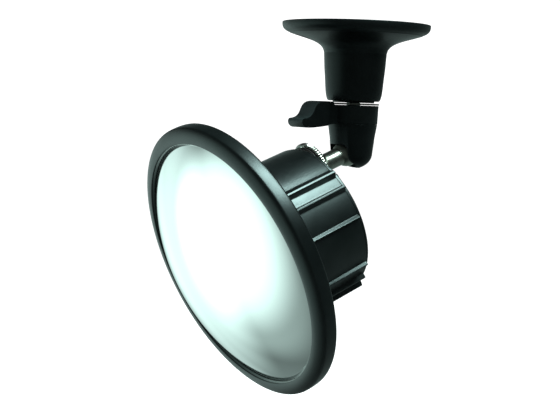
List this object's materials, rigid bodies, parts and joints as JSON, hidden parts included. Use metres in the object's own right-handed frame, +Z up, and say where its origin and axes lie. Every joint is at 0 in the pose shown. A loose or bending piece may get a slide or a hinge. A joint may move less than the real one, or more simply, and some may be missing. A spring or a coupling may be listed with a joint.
{
  "type": "convex security mirror",
  "caption": "Round convex security mirror in a black bezel, on a ribbed barrel housing that hangs from a swivel and tilt ceiling bracket with a clamp lever.",
  "frame": {"origin": "centre of the bracket's ceiling face", "axes": "+Z up into the ceiling; at rest the mirror looks along -Y and down by 22.3 degrees; +X is to the left of someone who looks the way the mirror does"},
  "size_m": [0.16, 0.1536, 0.2087],
  "materials": {
    "black_plastic": "satin black moulding",
    "bezel_plastic": "semi-gloss black moulding",
    "black_rubber": "matt black",
    "mirror": "two-way silvered acrylic",
    "chrome": "polished",
    "steel": "zinc plated",
    "black_steel": "blackened",
    "brass": "turned",
    "nylon": "natural",
    "board_green": "solder mask",
    "sensor": "dark, glossy",
    "glass": "clear"
  },
  "bodies": {
    "bracket": {"bolt_washer": "steel", "bracket_base": "black_plastic", "centre_bolt": "steel", "closing_plate": "steel", "pivot_nut": "steel", "plate_screw_1": "steel", "plate_screw_2": "steel", "plate_screw_3": "steel", "spring_washer": "steel", "swivel_washer": "chrome"},
    "socket": {"socket_shell": "black_plastic", "knuckle_pin": "black_steel", "clamp_plunger": "nylon"},
    "lever": {"clamp_lever": "black_plastic", "lever_insert": "brass"},
    "stud": {"ball_stud": "chrome"},
    "lock_disc": {"lock_disc": "chrome"},
    "head": {"back_plate": "black_plastic", "barrel_housing": "black_plastic", "barrel_screw_1": "steel", "barrel_screw_2": "steel", "barrel_screw_3": "steel", "barrel_screw_4": "steel", "bezel_ring": "bezel_plastic", "board_screw_1": "steel", "board_screw_2": "steel", "board_spacer_1": "brass", "board_spacer_2": "brass", "cable_gland": "black_plastic", "camera_board": "board_green", "cover_screw_1": "steel", "cover_screw_2": "steel", "cover_screw_3": "steel", "cover_screw_4": "steel", "front_lens": "glass", "gland_nut": "black_plastic", "image_sensor": "sensor", "lens_barrel": "black_plastic", "lens_holder": "black_plastic", "lock_washer": "black_rubber", "mirror_dome": "mirror", "mirror_gasket": "black_rubber", "rear_cover": "black_plastic", "stud_insert": "brass"}
  },
  "joints": [
    {"name": "pan", "type": "hinge", "parent": "bracket", "child": "socket", "pos_m": [0, 0, -0.05], "axis": [0, 0, 1], "range_deg": [-170, 170]},
    {"name": "lever_turn", "type": "hinge", "parent": "socket", "child": "lever", "pos_m": [0, 0, -0.052], "axis": [0, 0, 1], "range_deg": [-75, 0]},
    {"name": "tilt", "type": "hinge", "parent": "socket", "child": "stud", "pos_m": [0, -0.004, -0.074], "axis": [1, 0, 0], "range_deg": [-8, 65]},
    {"name": "lock_disc_turn", "type": "hinge", "parent": "stud", "child": "lock_disc", "pos_m": [0, -0.02713, -0.08349], "axis": [0, -0.9252, -0.3795], "range_deg": [-90, 0]},
    {"name": "head_turn", "type": "hinge", "parent": "stud", "child": "head", "pos_m": [0, -0.03361, -0.08614], "axis": [0, -0.9252, -0.3795], "range_deg": [-30, 30]}
  ]
}
